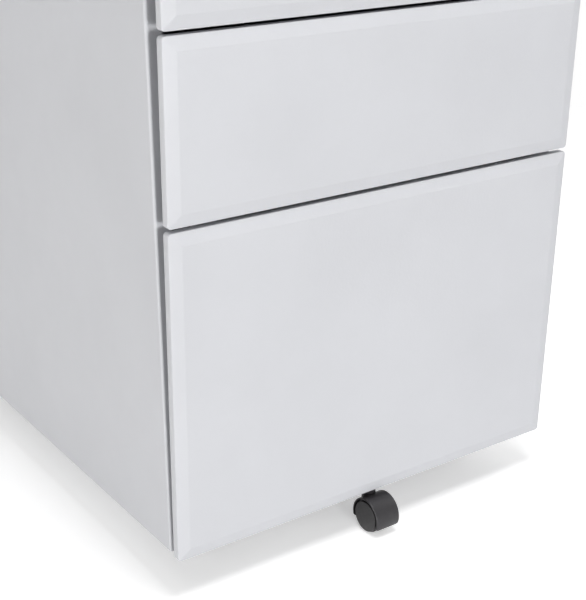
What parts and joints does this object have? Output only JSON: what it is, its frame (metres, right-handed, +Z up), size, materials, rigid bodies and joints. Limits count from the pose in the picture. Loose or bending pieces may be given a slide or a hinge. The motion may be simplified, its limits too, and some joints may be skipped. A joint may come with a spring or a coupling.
{
  "type": "mobile filing pedestal",
  "caption": "Mobile steel filing pedestal: box drawers over a file drawer on telescopic slides, side finger grips, key lock, swivel casters and an anti-tip caster.",
  "frame": {"origin": "on the floor under the middle of the whole part, the foremost point being the anti-tip caster", "axes": "+X to the right seen from the front, +Y towards the back, +Z up; the fronts face -Y"},
  "size_m": [0.39, 0.5173, 0.6],
  "materials": {
    "painted_steel": "fine satin powder coat, pale silver grey",
    "zinc_steel": "bright zinc plate on cold-rolled strip",
    "lock_chrome": "satin chrome plate",
    "caster_plastic": "satin moulded nylon, black",
    "wheel_plastic": "satin moulded nylon, black",
    "black_plastic": "matte moulded polystyrene, black"
  },
  "bodies": {
    "case": {"left_side_panel": "painted_steel", "right_side_panel": "painted_steel", "back_panel": "painted_steel", "top_cap": "painted_steel", "base_pan": "painted_steel", "left_rear_upright": "painted_steel", "right_rear_upright": "painted_steel", "lock_housing": "lock_chrome", "lock_bar_guides": "black_plastic", "caster_stems": "zinc_steel", "file_left_outer_rail": "zinc_steel", "file_right_outer_rail": "zinc_steel", "middle_left_outer_rail": "zinc_steel", "middle_right_outer_rail": "zinc_steel", "top_left_outer_rail": "zinc_steel", "top_right_outer_rail": "zinc_steel"},
    "file_drawer": {"file_front": "painted_steel", "file_front_liner": "painted_steel", "file_box": "painted_steel", "file_box_back": "painted_steel", "file_lock_catch": "zinc_steel", "file_left_inner_rail": "zinc_steel", "file_right_inner_rail": "zinc_steel", "hanging_file_ribs": "black_plastic", "anti_tip_bracket": "zinc_steel", "anti_tip_stem": "zinc_steel"},
    "middle_drawer": {"middle_front": "painted_steel", "middle_front_liner": "painted_steel", "middle_box": "painted_steel", "middle_box_back": "painted_steel", "middle_lock_catch": "zinc_steel", "middle_left_inner_rail": "zinc_steel", "middle_right_inner_rail": "zinc_steel"},
    "top_drawer": {"top_front": "painted_steel", "top_front_liner": "painted_steel", "top_box": "painted_steel", "top_box_back": "painted_steel", "top_lock_catch": "zinc_steel", "top_left_inner_rail": "zinc_steel", "top_right_inner_rail": "zinc_steel", "pencil_tray": "black_plastic"},
    "file_link_rails": {"file_left_link_rail": "zinc_steel", "file_right_link_rail": "zinc_steel"},
    "middle_link_rails": {"middle_left_link_rail": "zinc_steel", "middle_right_link_rail": "zinc_steel"},
    "top_link_rails": {"top_left_link_rail": "zinc_steel", "top_right_link_rail": "zinc_steel"},
    "lock_plug": {"lock_plug": "lock_chrome", "lock_cam": "zinc_steel"},
    "lock_bar": {"lock_bar": "zinc_steel"},
    "front_left_caster": {"front_left_caster_hood": "caster_plastic"},
    "front_left_wheels": {"front_left_caster_wheels": "wheel_plastic"},
    "front_right_caster": {"front_right_caster_hood": "caster_plastic"},
    "front_right_wheels": {"front_right_caster_wheels": "wheel_plastic"},
    "rear_left_caster": {"rear_left_caster_hood": "caster_plastic"},
    "rear_left_wheels": {"rear_left_caster_wheels": "wheel_plastic"},
    "rear_right_caster": {"rear_right_caster_hood": "caster_plastic"},
    "rear_right_wheels": {"rear_right_caster_wheels": "wheel_plastic"},
    "anti_tip_caster": {"anti_tip_caster_hood": "caster_plastic"},
    "anti_tip_wheels": {"anti_tip_caster_wheels": "wheel_plastic"}
  },
  "joints": [
    {"name": "file_drawer_slide", "type": "slide", "parent": "case", "child": "file_drawer", "axis": [0, -1, 0], "range_m": [0, 0.42]},
    {"name": "middle_drawer_slide", "type": "slide", "parent": "case", "child": "middle_drawer", "axis": [0, -1, 0], "range_m": [0, 0.35]},
    {"name": "top_drawer_slide", "type": "slide", "parent": "case", "child": "top_drawer", "axis": [0, -1, 0], "range_m": [0, 0.35]},
    {"name": "file_link_slide", "type": "slide", "parent": "case", "child": "file_link_rails", "axis": [0, -1, 0], "range_m": [0, 0.21]},
    {"name": "middle_link_slide", "type": "slide", "parent": "case", "child": "middle_link_rails", "axis": [0, -1, 0], "range_m": [0, 0.175]},
    {"name": "top_link_slide", "type": "slide", "parent": "case", "child": "top_link_rails", "axis": [0, -1, 0], "range_m": [0, 0.175]},
    {"name": "lock_turn", "type": "hinge", "parent": "case", "child": "lock_plug", "pos_m": [0.16, -0.24135, 0.58825], "axis": [0, 1, 0], "range_deg": [0, 90]},
    {"name": "lock_bar_slide", "type": "slide", "parent": "case", "child": "lock_bar", "axis": [0, 0, 1], "range_m": [0, 0.008]},
    {"name": "front_left_swivel", "type": "hinge", "parent": "case", "child": "front_left_caster", "pos_m": [-0.135, -0.14415, 0.02], "axis": [0, 0, 1], "continuous": true},
    {"name": "front_left_roll", "type": "hinge", "parent": "front_left_caster", "child": "front_left_wheels", "pos_m": [-0.135, -0.16015, 0.02], "axis": [1, 0, 0], "continuous": true},
    {"name": "front_right_swivel", "type": "hinge", "parent": "case", "child": "front_right_caster", "pos_m": [0.135, -0.14415, 0.02], "axis": [0, 0, 1], "continuous": true},
    {"name": "front_right_roll", "type": "hinge", "parent": "front_right_caster", "child": "front_right_wheels", "pos_m": [0.135, -0.16015, 0.02], "axis": [1, 0, 0], "continuous": true},
    {"name": "rear_left_swivel", "type": "hinge", "parent": "case", "child": "rear_left_caster", "pos_m": [-0.135, 0.16365, 0.02], "axis": [0, 0, 1], "continuous": true},
    {"name": "rear_left_roll", "type": "hinge", "parent": "rear_left_caster", "child": "rear_left_wheels", "pos_m": [-0.135, 0.14765, 0.02], "axis": [1, 0, 0], "continuous": true},
    {"name": "rear_right_swivel", "type": "hinge", "parent": "case", "child": "rear_right_caster", "pos_m": [0.135, 0.16365, 0.02], "axis": [0, 0, 1], "continuous": true},
    {"name": "rear_right_roll", "type": "hinge", "parent": "rear_right_caster", "child": "rear_right_wheels", "pos_m": [0.135, 0.14765, 0.02], "axis": [1, 0, 0], "continuous": true},
    {"name": "anti_tip_swivel", "type": "hinge", "parent": "file_drawer", "child": "anti_tip_caster", "pos_m": [0, -0.23065, 0.0148], "axis": [0, 0, 1], "continuous": true},
    {"name": "anti_tip_roll", "type": "hinge", "parent": "anti_tip_caster", "child": "anti_tip_wheels", "pos_m": [0, -0.24165, 0.0148], "axis": [1, 0, 0], "continuous": true}
  ],
  "couplings": [
    {"joint": "file_link_slide", "follows": "file_drawer_slide", "ratio": 0.5},
    {"joint": "middle_link_slide", "follows": "middle_drawer_slide", "ratio": 0.5},
    {"joint": "top_link_slide", "follows": "top_drawer_slide", "ratio": 0.5},
    {"joint": "lock_turn", "follows": "lock_bar_slide", "rad_per_m": 196.35}
  ]
}
